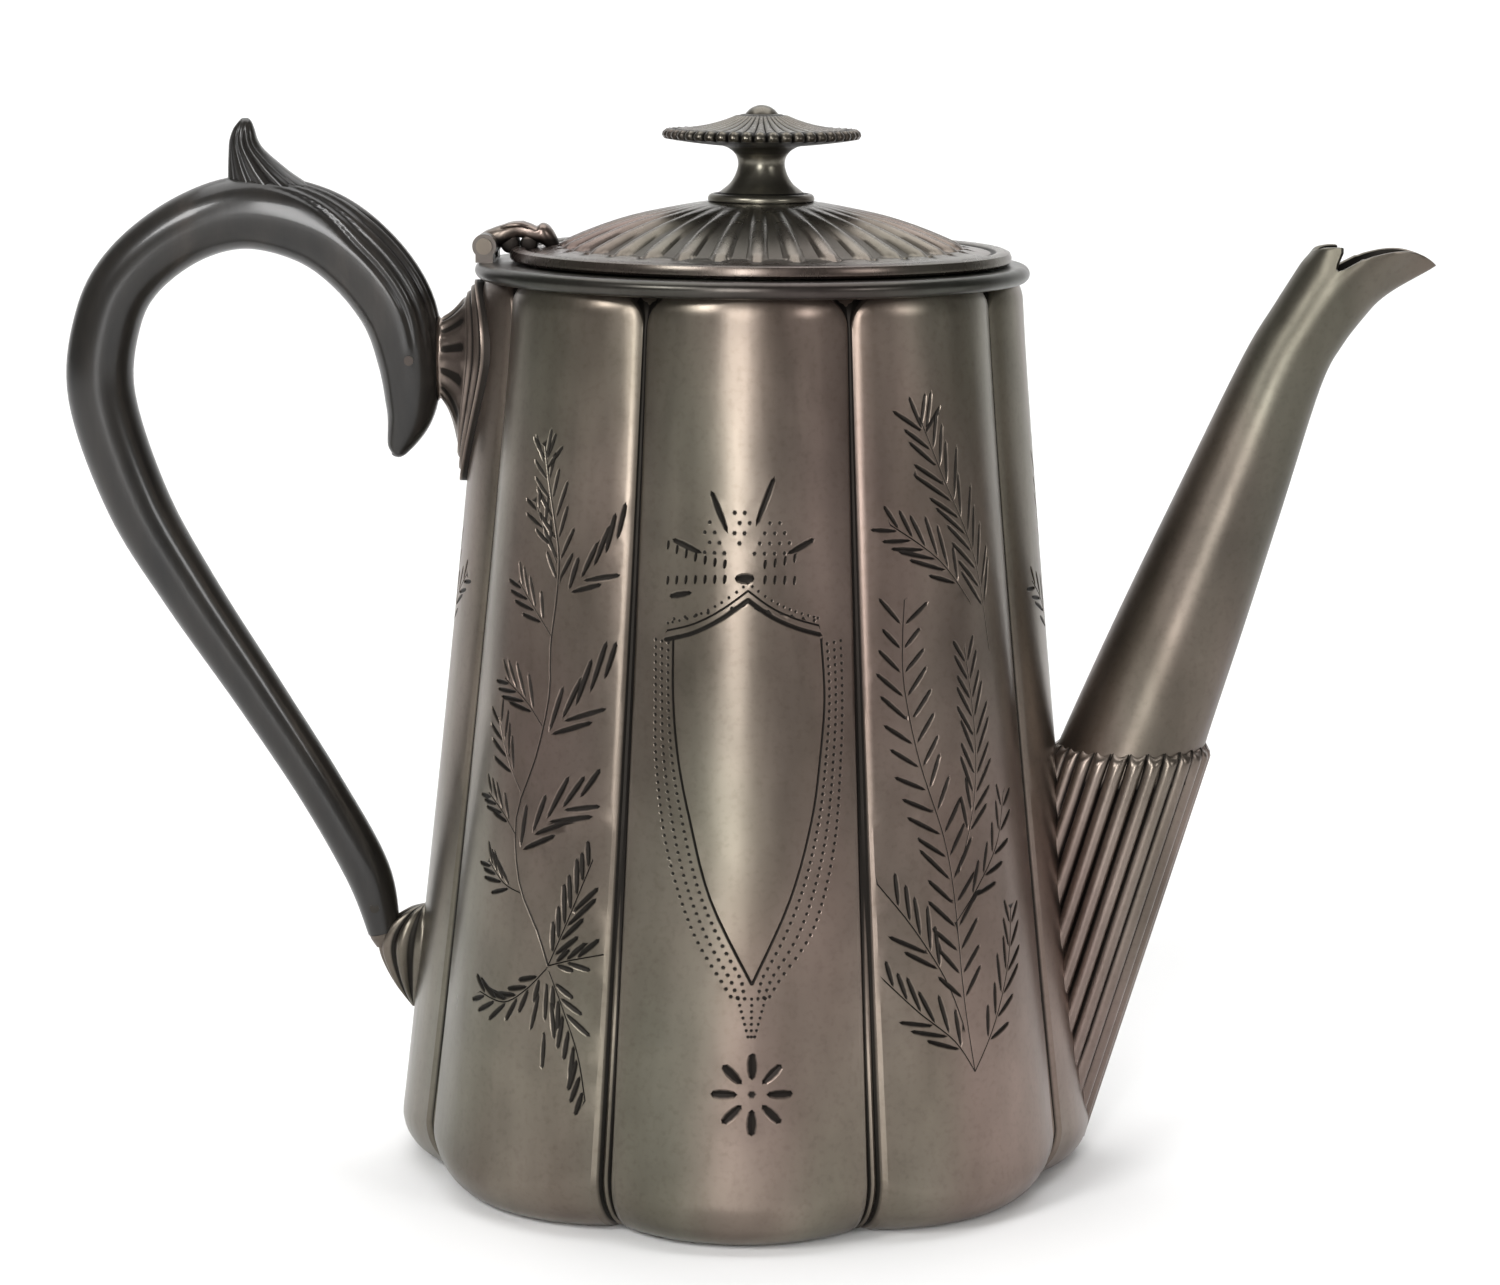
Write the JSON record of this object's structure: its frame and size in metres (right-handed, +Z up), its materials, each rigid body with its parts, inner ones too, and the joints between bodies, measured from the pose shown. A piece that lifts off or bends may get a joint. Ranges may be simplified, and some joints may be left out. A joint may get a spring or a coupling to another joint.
{
  "type": "coffee pot",
  "caption": "Tall lobed metal coffee pot with a hinged fluted lid and umbrella finial, a straight beaked spout on a reeded base and a carved dark wooden ear-shaped handle.",
  "frame": {"origin": "centre of the base on the surface it stands on", "axes": "+Z up, +X towards the spout, -X towards the handle"},
  "size_m": [0.253, 0.1312, 0.1977],
  "materials": {
    "sheet_pewter": "dull polished, tarnished warm grey, engraved",
    "cast_pewter": "satin cast metal, dark in the hollows",
    "fastener_metal": "satin",
    "blackened_wood": "blackened, semi-gloss"
  },
  "bodies": {
    "pot": {"body_shell": "sheet_pewter", "base_plate": "sheet_pewter", "rim_moulding": "cast_pewter", "lid_seat_ring": "cast_pewter", "spout_base": "cast_pewter", "spout_tube": "sheet_pewter", "handle_socket_upper": "cast_pewter", "handle_socket_lower": "cast_pewter", "handle": "blackened_wood", "handle_pin_upper": "fastener_metal", "handle_pin_lower": "fastener_metal", "hinge_body_leaf": "cast_pewter", "hinge_pin": "fastener_metal"},
    "lid": {"hinge_lid_leaf": "cast_pewter", "lid_dome": "sheet_pewter", "lid_bezel": "cast_pewter", "finial_stem": "cast_pewter", "finial_cap": "cast_pewter", "finial_screw": "fastener_metal", "finial_washer": "fastener_metal", "finial_nut": "fastener_metal"}
  },
  "joints": [
    {"name": "lid_hinge", "type": "hinge", "parent": "pot", "child": "lid", "pos_m": [-0.0488, 0, 0.172], "axis": [0, -1, 0], "range_deg": [0, 105]}
  ]
}
